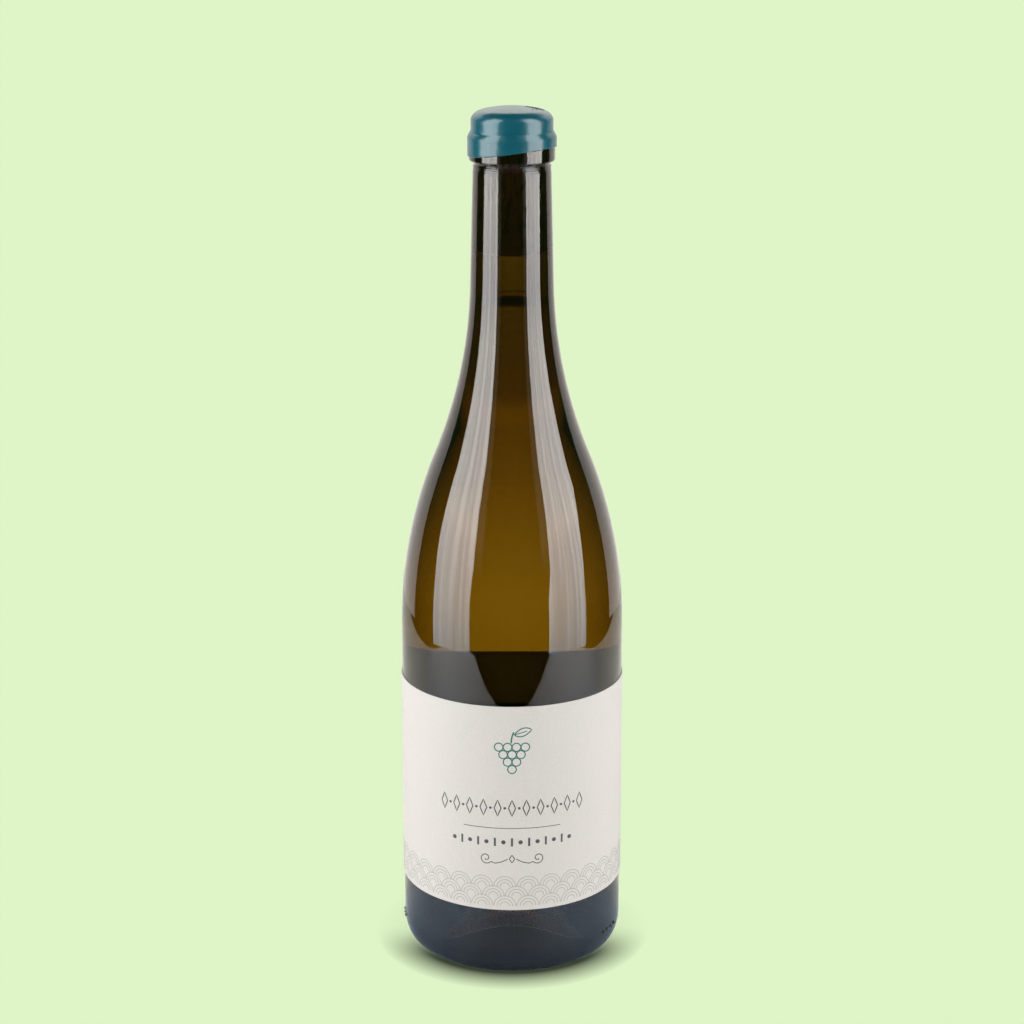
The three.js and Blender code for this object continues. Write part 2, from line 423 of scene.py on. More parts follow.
def glass_material():
    """Olive-brown bottle glass: clear surface, colour by depth, faint ripples of the mould."""
    material, tree, output = new_material("bottle_glass")
    node = shader(tree, output, {
        "Base Color": (1, 1, 1, 1),
        "Roughness": 0.0,
        "IOR": GLASS_IOR,
        "Transmission Weight": 1.0,
    })
    ripple = noise(tree, GLASS_RIPPLE_SCALE, detail=1.0, stretch=(1, 1, 0.35))
    tree.links.new(bump(tree, ripple, GLASS_RIPPLE_BUMP), node.inputs["Normal"])
    absorption(tree, output, *absorbing(GLASS_PASSES, GLASS_PASS_LENGTH))
    return material


def wine_material():
    """Clear pale gold wine."""
    material, tree, output = new_material("wine")
    shader(tree, output, {
        "Base Color": (1, 1, 1, 1),
        "Roughness": 0.0,
        "IOR": WINE_IOR,
        "Transmission Weight": 1.0,
    })
    absorption(tree, output, *absorbing(WINE_PASSES, WINE_PASS_LENGTH))
    return material


def cork_material():
    """Natural cork: soft grain with darker pores drawn out along the cork."""
    material, tree, output = new_material("cork")
    node = shader(tree, output, {"Roughness": 0.85, "Specular IOR Level": 0.3})
    grain = noise(tree, CORK_GRAIN_SCALE, detail=3.0, stretch=(1, 1, 0.25))
    tree.links.new(ramp(tree, grain, CORK_STOPS), node.inputs["Base Color"])
    tree.links.new(bump(tree, grain, CORK_GRAIN_BUMP), node.inputs["Normal"])
    return material


def wax_material():
    """Dipped teal wax: soft gloss, a little uneven in colour and surface."""
    material, tree, output = new_material("wax")
    node = shader(tree, output, {"Roughness": WAX_ROUGHNESS, "IOR": WAX_IOR})
    drift = noise(tree, WAX_SOFT_SCALE, detail=3.0)
    colour = ramp(tree, drift, [(0.3, WAX_DARK), (0.7, WAX_LIGHT)])
    tree.links.new(colour, node.inputs["Base Color"])
    soft = bump(tree, noise(tree, WAX_SOFT_SCALE), WAX_SOFT_BUMP)
    fine = bump(tree, noise(tree, WAX_FINE_SCALE), WAX_FINE_BUMP, soft)
    tree.links.new(fine, node.inputs["Normal"])
    return material


def paper_material():
    """Uncoated warm white label paper with a faint felt grain."""
    material, tree, output = new_material("label_paper")
    node = shader(tree, output, {"Roughness": 0.75, "Specular IOR Level": 0.25})
    fibres = noise(tree, PAPER_FIBRE_SCALE, detail=3.0, roughness=0.6)
    colour = ramp(tree, fibres, [(0.3, PAPER_DARK), (0.7, PAPER_LIGHT)])
    tree.links.new(colour, node.inputs["Base Color"])
    tree.links.new(bump(tree, fibres, PAPER_FIBRE_BUMP), node.inputs["Normal"])
    return material


def ink_material(name, colour):
    """A matte colour that is slightly uneven, for printed ink and for the wax's painted crease shade and
    specks.
    """
    material, tree, output = new_material(name)
    node = shader(tree, output, {"Roughness": 0.6, "Specular IOR Level": 0.3})
    soak = noise(tree, INK_SOAK_SCALE)
    darkest = [channel * INK_SOAK for channel in colour]
    stops = [(0.35, darkest), (0.65, colour)]
    tree.links.new(ramp(tree, soak, stops), node.inputs["Base Color"])
    return material


glass_look = glass_material()
wine_look = wine_material()
cork_look = cork_material()
wax_look = wax_material()
paper_look = paper_material()
# the wax's dark marks: painted crease shade and two specks
crease_shade_and_speck_look = ink_material("wax_crease_shade_and_speck_ink", WAX_CREASE_SHADE_AND_SPECK_COLOUR)

# Glass


def cavity_profile(top, grow):
    """The inside of the bottle from the middle of its floor up to a height, grown into the wall."""
    corner = BODY_RADIUS - BODY_WALL - FLOOR_VALLEY_RADIUS
    floor_top = PUNT_HEIGHT + FLOOR_THICKNESS
    profile = dome(FLOOR_VALLEY_RADIUS, FLOOR_VALLEY_HEIGHT - grow, floor_top - grow, 24)
    corner_middle = (FLOOR_VALLEY_RADIUS, FLOOR_VALLEY_HEIGHT + corner)
    profile += arc(corner_middle, (corner + grow, corner + grow), -90, 0, 12)
    start = FLOOR_VALLEY_HEIGHT + corner
    profile += [(inner_radius(h) + grow, h) for h in steps_between(start, top, ROW_STEP * 2)]
    return profile


def make_glass():
    """The bottle: punt, foot, body, shoulder, neck, ring and lip outside, bore and floor inside."""
    ring_side = RING_RADIUS - RING_ROUNDING
    rounding = (RING_ROUNDING, RING_ROUNDING)
    profile = dome(PUNT_RADIUS, 0, PUNT_HEIGHT, 24)
    profile += arc((BODY_RADIUS - HEEL_INSET, HEEL_HEIGHT), (HEEL_INSET, HEEL_HEIGHT), -90, 0, 16)
    profile += [(outer_radius(h), h) for h in steps_between(HEEL_HEIGHT, FINE_ROWS_ABOVE, ROW_STEP)]
    neck_top = RING_BOTTOM - RING_FILLET
    profile += [(outer_radius(h), h) for h in steps_between(FINE_ROWS_ABOVE, neck_top, FINE_ROW_STEP)]
    fillet_middle = (outer_radius(neck_top) + RING_FILLET, neck_top)
    profile += arc(fillet_middle, (RING_FILLET, RING_FILLET), 180, RING_FILLET_END, 8)
    profile += arc((ring_side, RING_BOTTOM + RING_ROUNDING), rounding, -90, 0, 8)
    side_low, side_high = RING_BOTTOM + RING_SIDE_INSET, RING_TOP - RING_SIDE_INSET
    profile += [(RING_RADIUS, h) for h in steps_between(side_low, side_high, ROW_STEP / 2)]
    profile += rounded_edge(RING_RADIUS, RING_TOP, RING_ROUNDING, 0)
    profile.append((LIP_RADIUS, RING_TOP))
    profile += rounded_edge(LIP_RADIUS, MOUTH_HEIGHT, LIP_ROUNDING, 0)
    profile.append((MOUTH_BORE_RADIUS + MOUTH_CHAMFER, MOUTH_HEIGHT))
    profile += reversed(cavity_profile(MOUTH_HEIGHT - MOUTH_CHAMFER, 0))
    piece = new_piece("glass_bottle", *lathe(profile), glass_look)
    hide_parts("bottle_glass")


def make_wine():
    """Wine up to the fill level, with a meniscus that climbs the bore a little."""
    level = FILL_LEVEL - MENISCUS_RISE / 2
    wall_radius = inner_radius(FILL_LEVEL)

    def surface_height(radius):
        return level + MENISCUS_RISE * math.exp((radius - wall_radius) / MENISCUS_LENGTH)

    edge = wall_radius + WINE_REACH
    profile = cavity_profile(surface_height(edge), WINE_REACH)
    profile += [(r, surface_height(r)) for r in steps_between(edge, 0, 0.3)]
    piece = new_piece("wine_fill", *lathe(profile), wine_look)
    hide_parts("wine")


def make_cork():
    """Cork in the bore, chamfered at both ends."""
    bottom, top = cork_low.z, cork_high.z
    low_radius = inner_radius(bottom) + CORK_REACH
    high_radius = inner_radius(top) + CORK_REACH
    profile = [(r, bottom) for r in steps_between(0, low_radius - CORK_CHAMFER, 1)]
    profile += [
        (lerp(low_radius, high_radius, (h - bottom) / (top - bottom)), h)
        for h in steps_between(bottom + CORK_CHAMFER, top - CORK_CHAMFER, 2)
    ]
    profile += [(r, top) for r in steps_between(high_radius - CORK_CHAMFER, 0, 1)]
    piece = new_piece("cork_stopper", *lathe(profile, sides=CORK_SIDES), cork_look)
    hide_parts("cork")


def add_ball(verts, faces, middle, reach, rings=6, sides=12):
    """Adds a ball with a reach on each axis to a list of points and faces."""
    top = len(verts)
    bottom = top + 1 + (rings - 1) * sides
    verts.append((middle[0], middle[1], middle[2] + reach[2]))
    for i in range(1, rings):
        tilt = math.pi * i / rings
        for k in range(sides):
            turn = 2 * math.pi * k / sides
            direction = (math.sin(tilt) * math.cos(turn), math.sin(tilt) * math.sin(turn), math.cos(tilt))
            verts.append([m + r * d for m, r, d in zip(middle, reach, direction)])
    verts.append((middle[0], middle[1], middle[2] - reach[2]))
    for k in range(sides):
        n = (k + 1) % sides
        faces.append((top, top + 1 + k, top + 1 + n))
        for row in range(top + 1, bottom - sides, sides):
            faces.append((row + k, row + sides + k, row + sides + n, row + n))
        faces.append((bottom - sides + k, bottom, bottom - sides + n))


def add_tube(verts, faces, path, reaches, sides=8):
    """Adds a tube along a path, shut at both ends, to a list of points and faces."""
    base = len(verts)
    last = len(path) - 1
    for i, point in enumerate(path):
        ahead = (Vector(path[min(i + 1, last)]) - Vector(path[max(i - 1, 0)])).normalized()
        across = ahead.cross(Vector((0, 0, 1))).normalized()
        up = across.cross(ahead)
        for k in range(sides):
            turn = 2 * math.pi * k / sides
            verts.append(Vector(point) + reaches[i] * (math.cos(turn) * across + math.sin(turn) * up))
    for row in range(base, base + last * sides, sides):
        for k in range(sides):
            n = (k + 1) % sides
            faces.append((row + k, row + sides + k, row + sides + n, row + n))
    faces.append(tuple(range(base, base + sides)))
    faces.append(tuple(reversed(range(base + last * sides, base + (last + 1) * sides))))


def heel_radius(height):
    """Outer radius of the rounded heel."""
    share = (HEEL_HEIGHT - height) / HEEL_HEIGHT
    return BODY_RADIUS - HEEL_INSET + HEEL_INSET * math.sqrt(max(0, 1 - share * share))


def make_heel_dots():
    """Small raised dots of the mould's code, low on the heel, a group on each side."""
    verts, faces = [], []
    for first, count, height in HEEL_DOT_GROUPS:
        for i in range(count):
            turn = math.radians(first + i * HEEL_DOT_PITCH)
            middle = on_circle(heel_radius(height), turn, height)
            add_ball(verts, faces, middle, (HEEL_DOT, HEEL_DOT, HEEL_DOT))
    piece = new_piece("heel_dots", verts, faces, glass_look)


make_glass()
make_heel_dots()
make_wine()
make_cork()

# Wax seal


def wax_edge_shift(turn):
    """How far the wax's lower edge lies over its mean height at a turn."""
    return (
        WAX_EDGE_RISE_X * math.sin(turn)
        + WAX_EDGE_RISE_FRONT * math.cos(turn)
        + WAX_EDGE_WAVE * math.sin(2 * turn)
    )


def wax_shape(radius, height, turn):
    """Lets the lower edge of the wax follow its slanted, wavy line, and presses in the crease."""
    middle = WAX_CREASE_HEIGHT + WAX_CREASE_SWING * math.sin(2 * turn + 0.6)
    strength = 1 - WAX_CREASE_UNEVEN * (1 - math.sin(3 * turn + 0.9) * math.cos(5 * turn))
    crease = math.exp(-((height - middle) / WAX_CREASE_WIDTH) ** 2)
    radius -= WAX_CREASE_DEPTH * strength * crease
    if height < WAX_STRAIGHT_ABOVE:
        share = (WAX_STRAIGHT_ABOVE - height) / (WAX_STRAIGHT_ABOVE - WAX_EDGE_HEIGHT)
        height += wax_edge_shift(turn) * share
    return radius, height


def wax_top_height(radius):
    """Height of the wax's top at a radius, out over the upper part of its shoulder."""
    end = math.radians(WAX_SHOULDER_END)
    last_radius = WAX_LIP_RADIUS - WAX_SHOULDER_WIDTH * (1 - math.cos(end))
    last_height = WAX_SHOULDER_HEIGHT + WAX_SHOULDER_RISE * math.sin(end)
    if radius <= last_radius:
        return lerp(WAX_TOP, last_height, (radius / last_radius) ** WAX_TOP_CURVE)
    share = (radius - WAX_LIP_RADIUS + WAX_SHOULDER_WIDTH) / WAX_SHOULDER_WIDTH
    return WAX_SHOULDER_HEIGHT + WAX_SHOULDER_RISE * math.sqrt(1 - share * share)


def make_wax():
    """A skin of wax over mouth, lip and ring."""
    inner_side = RING_RADIUS + WAX_CONTACT
    edge_top = WAX_EDGE_HEIGHT + WAX_EDGE_ROUNDING
    edge_middle = ((inner_side + WAX_RING_RADIUS) / 2, edge_top)
    edge_reach = ((WAX_RING_RADIUS - inner_side) / 2, WAX_EDGE_ROUNDING)
    profile = [(r, MOUTH_HEIGHT + WAX_CONTACT) for r in steps_between(0, LIP_RADIUS - LIP_ROUNDING, 2)]
    profile += reversed(rounded_edge(LIP_RADIUS, MOUTH_HEIGHT, LIP_ROUNDING, WAX_CONTACT))
    profile.append((LIP_RADIUS + WAX_CONTACT, RING_TOP + WAX_CONTACT))
    profile += reversed(rounded_edge(RING_RADIUS, RING_TOP, RING_ROUNDING, WAX_CONTACT))
    profile += [(inner_side, h) for h in steps_between(RING_TOP - RING_SIDE_INSET, edge_top, 1)]
    profile += arc(edge_middle, edge_reach, 180, 360, 10)
    side_low = edge_top + WAX_ROW_STEP
    profile += [(WAX_RING_RADIUS, h) for h in steps_between(side_low, WAX_STRAIGHT_ABOVE, 0.5)]
    for height in steps_between(WAX_STRAIGHT_ABOVE, WAX_SHOULDER_HEIGHT, WAX_ROW_STEP):
        share = smoothstep(height, WAX_STRAIGHT_ABOVE, WAX_WAIST_HEIGHT)
        profile.append((lerp(WAX_RING_RADIUS, WAX_LIP_RADIUS, share), height))
    shoulder_middle = (WAX_LIP_RADIUS - WAX_SHOULDER_WIDTH, WAX_SHOULDER_HEIGHT)
    profile += arc(shoulder_middle, (WAX_SHOULDER_WIDTH, WAX_SHOULDER_RISE), 0, WAX_SHOULDER_END, 16)
    profile += [(r, wax_top_height(r)) for r in steps_between(profile[-1][0], 0, 0.8)]
    piece = new_piece("wax_cap", *lathe(profile, wax_shape), wax_look)
    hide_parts("wax_seal")


def make_wax_crease_shade_and_specks():
    """A short dark line of painted shade along a crease near the wax's rim, and two dark specks, all half
    sunk in its top.
    """
    verts, faces = [], []
    shade_line, reaches = [], []
    for share in steps_between(0, 1, 0.05):
        x = lerp(CREASE_SHADE_START[0], CREASE_SHADE_END[0], share)
        y = lerp(CREASE_SHADE_START[1], CREASE_SHADE_END[1], share * share)
        shade_line.append((x, y, wax_top_height(math.hypot(x, y))))
        reaches.append(CREASE_SHADE_REACH * math.sqrt(math.sin(math.pi * lerp(0.04, 0.96, share))))
    add_tube(verts, faces, shade_line, reaches)
    for x, y in SPECKS:
        add_ball(verts, faces, (x, y, wax_top_height(math.hypot(x, y))), SPECK_REACH)
    piece = new_piece("wax_crease_shade_and_specks", verts, faces, crease_shade_and_speck_look)


make_wax()
make_wax_crease_shade_and_specks()

# Label and its print


def make_label():
    """A strip of paper round the body, closed to a thin solid at its ends and edges."""
    inner = BODY_RADIUS + LABEL_CONTACT
    ring = [(inner, LABEL_BOTTOM), (LABEL_RADIUS, LABEL_BOTTOM)]
    ring += [(LABEL_RADIUS, h) for h in steps_between(LABEL_BOTTOM, LABEL_TOP, 4)[1:]]
    ring.append((inner, LABEL_TOP))
    verts = []
    for i in range(LABEL_COLUMNS + 1):
        turn = lerp(LABEL_START, LABEL_END, i / LABEL_COLUMNS)
        verts += [on_circle(radius, turn, height) for radius, height in ring]
    faces = []
    count = len(ring)
    for i in range(LABEL_COLUMNS):
        for j in range(count):
            k = (j + 1) % count
            a, b = i * count, (i + 1) * count
            faces.append((a + j, b + j, b + k, a + k))
    faces.append(tuple(range(count)))
    faces.append(tuple(reversed(range(LABEL_COLUMNS * count, (LABEL_COLUMNS + 1) * count))))
    piece = new_piece("label_sheet", verts, faces, paper_look, smooth=False)
    for polygon in piece.data.polygons:
        polygon.use_smooth = len(polygon.vertices) == 4
    piece.data.set_sharp_from_angle(angle=math.radians(30))
    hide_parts("label")


class Print:
    """Ink shapes on the label. A place is across and up from the middle of the label's front."""

    def __init__(self):
        self.verts = []
        self.faces = []

    def stroke(self, line, width, closed=False):
        """A line of a width through points."""
        count = len(line)
        sides = []
        for i, (x, y) in enumerate(line):
            before = line[i - 1] if closed or i else line[i]
            after = line[(i + 1) % count] if closed or i < count - 1 else line[i]
            dx, dy = after[0] - before[0], after[1] - before[1]
            length = math.hypot(dx, dy) or 1
            nx, ny = -dy / length * width / 2, dx / length * width / 2
            sides.append(((x + nx, y + ny), (x - nx, y - ny)))
        base = len(self.verts)
        for left, right in sides:
            for radius in (LABEL_RADIUS + PRINT_HEIGHT, LABEL_RADIUS - PRINT_DEPTH):
                for across, up in (left, right):
                    self.verts.append(on_circle(radius, across / LABEL_RADIUS, LABEL_MIDDLE + up))
        last = count if closed else count - 1
        for i in range(last):
            a = base + 4 * i
            b = base + 4 * ((i + 1) % count)
            self.faces += [
                (a, a + 1, b + 1, b),
                (a + 2, b + 2, b + 3, a + 3),
                (a, b, b + 2, a + 2),
                (a + 1, a + 3, b + 3, b + 1),
            ]
        if not closed:
            end = base + 4 * (count - 1)
            self.faces += [(base, base + 2, base + 3, base + 1), (end, end + 1, end + 3, end + 2)]

    def straight(self, start, end, width):
        """A straight line, in steps of about a millimetre so that it bends with the label."""
        steps = max(2, round(math.dist(start, end)))
        shares = [i / steps for i in range(steps + 1)]
        self.stroke([(lerp(start[0], end[0], s), lerp(start[1], end[1], s)) for s in shares], width)

    def circle(self, middle, radius, width, count=20):
        turns = [2 * math.pi * i / count for i in range(count)]
        line = [(middle[0] + radius * math.cos(t), middle[1] + radius * math.sin(t)) for t in turns]
        self.stroke(line, width, closed=True)

    def dot(self, middle, radius, count=12):
        """A filled round dot."""
        outer = len(self.verts)
        inner = outer + count
        for reach in (LABEL_RADIUS + PRINT_HEIGHT, LABEL_RADIUS - PRINT_DEPTH):
            for i in range(count):
                turn = 2 * math.pi * i / count
                across = middle[0] + radius * math.cos(turn)
                up = middle[1] + radius * math.sin(turn)
                self.verts.append(on_circle(reach, across / LABEL_RADIUS, LABEL_MIDDLE + up))
        self.faces.append(tuple(range(outer, inner)))
        self.faces.append(tuple(reversed(range(inner, inner + count))))
        for i in range(count):
            n = (i + 1) % count
            self.faces.append((outer + i, inner + i, inner + n, outer + n))

    def lozenge(self, middle, half_width, half_height, width):
        x, y = middle
        corners = [(x + half_width, y), (x, y + half_height), (x - half_width, y), (x, y - half_height)]
        line = []
        for start, end in zip(corners, corners[1:] + corners[:1]):
            line += [(lerp(start[0], end[0], s), lerp(start[1], end[1], s)) for s in (0, 0.34, 0.67)]
        self.stroke(line, width, closed=True)

    def piece(self, name, material):
        piece = new_piece(name, self.verts, self.faces, material, smooth=False)


def grape_emblem(ink):
    """A small bunch of grapes as open rings, with a stalk and a plain leaf."""
    for row, count in enumerate((4, 3, 2, 1)):
        for i in range(count):
            x = (i - (count - 1) / 2) * GRAPE_RADIUS * 2.05
            ink.circle((x, GRAPE_TOP_ROW - row * GRAPE_RADIUS * 1.82), GRAPE_RADIUS, EMBLEM_LINE)
    bunch_top = GRAPE_TOP_ROW + GRAPE_RADIUS
    stalk = [(-0.3 + 0.9 * s * s, bunch_top + STALK_HEIGHT * s) for s in (0, 0.25, 0.5, 0.75, 1)]
    ink.stroke(stalk, STALK_LINE)
    leaf_x, leaf_y = 0.8, bunch_top + 3.2
    leaf = []
    for i in range(24):
        share = i / 24
        side = 1 if share <= 0.5 else -1
        along = share * 2 if share <= 0.5 else 2 - share * 2
        half_width = LEAF_HALF_WIDTH * math.sin(math.pi * along) ** 0.8
        leaf.append((leaf_x + LEAF_LENGTH * along, leaf_y + LEAF_RISE * along + side * half_width))
    ink.stroke(leaf, EMBLEM_LINE, closed=True)
    ink.straight((leaf_x, leaf_y), (5.4, bunch_top + 4.5), VEIN_LINE)


def curl(side):
    """Points of a line that leads outwards on a side and rolls up."""
    line = [(side * 1.6, -19.2), (side * 4.0, -20.4), (side * 6.2, -20.9)]
    for i in range(CURL_POINTS):
        share = i / (CURL_POINTS - 1)
        angle = math.pi * (1.2 + 2.6 * share)
        reach = CURL_REACH * (1 - 0.8 * share)
        line.append((side * (CURL_X + reach * math.cos(angle)), CURL_Y + reach * math.sin(angle)))
    return line


def ornament_rows(ink):
    """Rows of lozenges, dots and bars, a rule and a pair of curls, where a label has its lines."""
    for i in range(-5, 6):
        ink.lozenge((i * LOZENGE_PITCH, LOZENGE_ROW), 1.25, 3.1, 0.42)
        if i < 5:
            ink.dot(((i + 0.5) * LOZENGE_PITCH, LOZENGE_ROW), 0.5)
    ink.straight((-RULE_HALF, RULE_ROW), (RULE_HALF, RULE_ROW), 0.25)
    for i in range(-7, 8):
        x = i * BAR_PITCH
        if i % 2:
            ink.dot((x, BAR_ROW), 0.8)
        else:
            ink.straight((x, BAR_ROW - BAR_HALF), (x, BAR_ROW + BAR_HALF), 0.75)
    for side in (-1, 1):
        ink.stroke(curl(side), CURL_LINE)
    ink.lozenge((0, -19.1), 1.0, 1.5, CURL_LINE)


def scallops(ink):
    """A low band of overlapping scallops all the way round, a common old pattern."""
    pitch = (LABEL_END - LABEL_START) * LABEL_RADIUS / SCALLOPS
    first = LABEL_START * LABEL_RADIUS
    bottom = LABEL_BOTTOM - LABEL_MIDDLE + SCALLOP_MARGIN
    for row in range(3):
        odd = row % 2
        for i in range(SCALLOPS - odd):
            middle = (first + odd * pitch / 2 + (i + 0.5) * pitch, bottom + row * SCALLOP_ROW)
            for share in (0.96, 0.68, 0.4):
                reach = pitch / 2 * share
                ink.stroke(arc(middle, (reach, reach), 0, 180, 12), SCALLOP_LINE)


make_label()
teal = Print()
grape_emblem(teal)
teal.piece("print_emblem", ink_material("ink_teal", INK_TEAL))
dark = Print()
ornament_rows(dark)
dark.piece("print_rows", ink_material("ink_dark", INK_DARK))
faint = Print()
scallops(faint)
faint.piece("print_scallops", ink_material("ink_faint", INK_FAINT))

# Floor, lights and camera

FLOOR_COLOUR = (0.738, 0.905, 0.571)
SHADOW_SHARE = 0.06  # of the floor's light, right at the foot
SHADOW_START = 38.5
SHADOW_END = 52
SHADOW_CURVE = 0.95
SHADOW_SIDE = 0.1  # how much of the shadow is left behind and beside the bottle
SHADOW_FRONT = 30
FLOOR_REACH = 30000
WHOLE_FLOOR = (-FLOOR_REACH, FLOOR_REACH, -FLOOR_REACH, FLOOR_REACH)

# What the glass shows of the floor, with painted shadow close round the bottle and painted light and
# shade further out: colours by the distance from the bottle, as a share of the reach
THROUGH_HEIGHT = -0.2
THROUGH_REACH = 1500
THROUGH_STOPS = [
    (0.04, (0.008, 0.01, 0.007)),
    (0.15, (0.25, 0.29, 0.16)),
    (0.19, (0.50, 0.58, 0.32)),
    (0.22, (0.73, 0.84, 0.46)),
    (0.25, (0.88, 1.0, 0.55)),
    (0.27, (0.80, 0.92, 0.50)),
    (0.30, (0.50, 0.57, 0.31)),
    (0.43, (0.47, 0.57, 0.31)),
    (0.53, (0.50, 0.65, 0.34)),
    (0.62, (0.43, 0.60, 0.3)),
    (0.68, (0.43, 0.61, 0.3)),
    (0.80, (0.53, 0.76, 0.35)),
    (1, (0.50, 0.74, 0.35)),
]
THROUGH_SIDE = 0.62  # light that is left far to the side
THROUGH_SIDE_REACH = 350

# The table that the glass mirrors, and the sheet that lights matte surfaces. The sheet lies lower,
# because two sheets in one plane would shade each other.
TABLE_HEIGHT = -0.5
BOUNCE_HEIGHT = -1
TABLE_REACH = 1000
# Painted light and shade of the table: shade close by the bottle, light further out
TABLE_STOPS = [
    (0.034, (0.30, 0.38, 0.46)),
    (0.044, (0.76, 0.96, 1.20)),
    (0.12, (1.14, 1.42, 1.75)),
    (0.25, (1.28, 1.34, 1.46)),
    (0.40, (1.36, 1.35, 1.36)),
]
TABLE_MIDDLE = 0.85  # share of those colours on the line through the bottle and the camera
TABLE_SIDE = 1.32  # and from the reach to the side on
TABLE_SIDE_REACH = 70
TABLE_BEHIND = (1.0, 1.0, 0.93)  # colour behind the bottle, which comes in between two places
TABLE_BEHIND_FROM = -10
TABLE_BEHIND_TO = 50
TABLE_GLOW = (1, 0.99, 0.84)
TABLE_GLOW_STRENGTH = 0.52
TABLE_GLOW_FROM = -40
TABLE_GLOW_TO = 120
BOUNCE_COLOUR = (0.95, 0.93, 0.86)
TABLE_HALF_WIDTH = 382
TABLE_FRONT = -312
TABLE_BACK = 450
TABLE_AREA = (-TABLE_HALF_WIDTH, TABLE_HALF_WIDTH, TABLE_FRONT, TABLE_BACK)

# Standing walls that the glass mirrors: radiances by height, and turns of their ends in degrees
BOX_RADIUS = 378
BACK_RADIUS = 450
ROOM_RADIUS = 700
BOX_STOPS = [
    (0, (2.4, 3.0, 3.6)),
    (30, (3.2, 3.9, 4.4)),
    (200, (7.3, 7.3, 7.2)),
    (235, (8.8, 8.5, 8.0)),
    (300, (8.3, 8.3, 8.0)),
    (1000, (8.3, 8.3, 8.0)),
]
GLOW_STOPS = [
    (0, (0.05, 0.06, 0.02)),
    (150, (0.05, 0.07, 0.02)),
    (230, (0.5, 0.5, 0.35)),
    (1000, (0.3, 0.3, 0.2)),
]
ROOM_STOPS = [
    (0, (0.02, 0.02, 0.02)),
    (120, (0.05, 0.07, 0.02)),
    (240, (0.06, 0.10, 0.03)),
    (1000, (0.03, 0.03, 0.02)),
]
BACK_STOPS = [
    (0, (1.15, 1.08, 1.0)),
    (350, (1.0, 0.95, 0.88)),
    (520, (1.9, 1.93, 1.77)),
    (600, (2.3, 2.35, 2.2)),
    (670, (0.8, 0.95, 0.9)),
    (740, (0.1, 0.13, 0.12)),
    (1000, (0.05, 0.06, 0.05)),
]
BOX_STREAKS = 0.16
STREAK_SCALE = 42
WALL_HEIGHTS = (7, 110, 170, 200, 260, 1000)
LEFT_BOX_STARTS = (-85, -85, -86.5, -86.5, -86.5, -86.5)
LEFT_BOX_ENDS = (-42, -42, -40, -40, -40, -40)
RIGHT_BOX_STARTS = (36.3, 36.3, 39.7, 39.7, 40.3, 40.3)
RIGHT_BOX_ENDS = (78.5, 78.5, 80.5, 82, 87, 87)
FRONT_END = 31
LEFT_ROOM_END = -82
RIGHT_ROOM_START = 78
BACK_START = 117

# Lamps for the matte surfaces
LAMP_TURN = math.radians(62)
LAMP_DISTANCE = 420
LAMP_WIDTH = 380
LAMP_HEIGHT = 900
LAMP_LEFT_RADIANCE = 2.95
LAMP_RIGHT_RADIANCE = 2.65
WORLD_COLOUR = (0.006, 0.006, 0.006)

# Camera, in front of the bottle and above it, as in the photo
CAMERA_LENS = 88.32
CAMERA_SENSOR = 36
CAMERA_PLACE = (0, -875.7, 419.2)
CAMERA_DOWN = math.radians(16.195)


def hide_from(obj, *kinds):
    """Keeps an object out of the given kinds of light path."""
    for kind in kinds:
        setattr(obj, "visible_" + kind, False)


def stage_mesh(name, corners, faces, material):
    """A piece of the studio, from points in millimetres."""
    mesh = bpy.data.meshes.new(name)
    mesh.from_pydata([Vector(corner) * MM for corner in corners], [], faces)
    mesh.materials.append(material)
    obj = bpy.data.objects.new(name, mesh)
    bpy.context.scene.collection.objects.link(obj)
    return obj


def flat_sheet(name, area, height, material):
    """A level sheet over an area, given by its left, right, front and back."""
    left, right, front, back = area
    corners = [(left, front, height), (right, front, height), (right, back, height), (left, back, height)]
    return stage_mesh(name, corners, [(0, 1, 2, 3)], material)


def upright(turn):
    """The turns, one for each height, of a wall's end that stands upright."""
    return [turn] * len(WALL_HEIGHTS)


def curved_wall(name, radius, starts, ends, material, columns=24):
    """A standing wall round the bottle, from the turns of its two ends at each of the heights."""
    corners = []
    for height, start, end in zip(WALL_HEIGHTS, starts, ends):
        for i in range(columns + 1):
            turn = math.radians(lerp(start, end, i / columns))
            corners.append(on_circle(radius, turn, height))
    faces = []
    for row in range(len(WALL_HEIGHTS) - 1):
        for i in range(columns):
            a = row * (columns + 1) + i
            b = a + columns + 1
            faces.append((a, a + 1, b + 1, b))
    return stage_mesh(name, corners, faces, material)


def share_of_reach(tree, reach):
    """How far a place is from the bottle's axis, as a share of a reach."""
    geometry = tree.nodes.new("ShaderNodeNewGeometry")
    scale = tree.nodes.new("ShaderNodeVectorMath")
    scale.operation = "MULTIPLY"
    scale.inputs[1].default_value = (1 / (reach * MM), 1 / (reach * MM), 0)
    length = tree.nodes.new("ShaderNodeVectorMath")
    length.operation = "LENGTH"
    tree.links.new(geometry.outputs["Position"], scale.inputs[0])
    tree.links.new(scale.outputs["Vector"], length.inputs[0])
    return length.outputs["Value"]


def place_along(tree, axis):
    """A place's coordinate along an axis, in metres."""
    geometry = tree.nodes.new("ShaderNodeNewGeometry")
    split = tree.nodes.new("ShaderNodeSeparateXYZ")
    tree.links.new(geometry.outputs["Position"], split.inputs["Vector"])
    return split.outputs[axis]


def fade(tree, value, low, high, start, end, kind="SMOOTHERSTEP"):
    """A change from a start to an end as a value goes from low to high."""
    node = tree.nodes.new("ShaderNodeMapRange")
    node.interpolation_type = kind
    set_inputs(node, {"From Min": low, "From Max": high, "To Min": start, "To Max": end})
    tree.links.new(value, node.inputs["Value"])
    return node.outputs["Result"]


def distance_aside(tree):
    """How far a place is to the side, in metres."""
    return calculate(tree, "ABSOLUTE", place_along(tree, "X"))


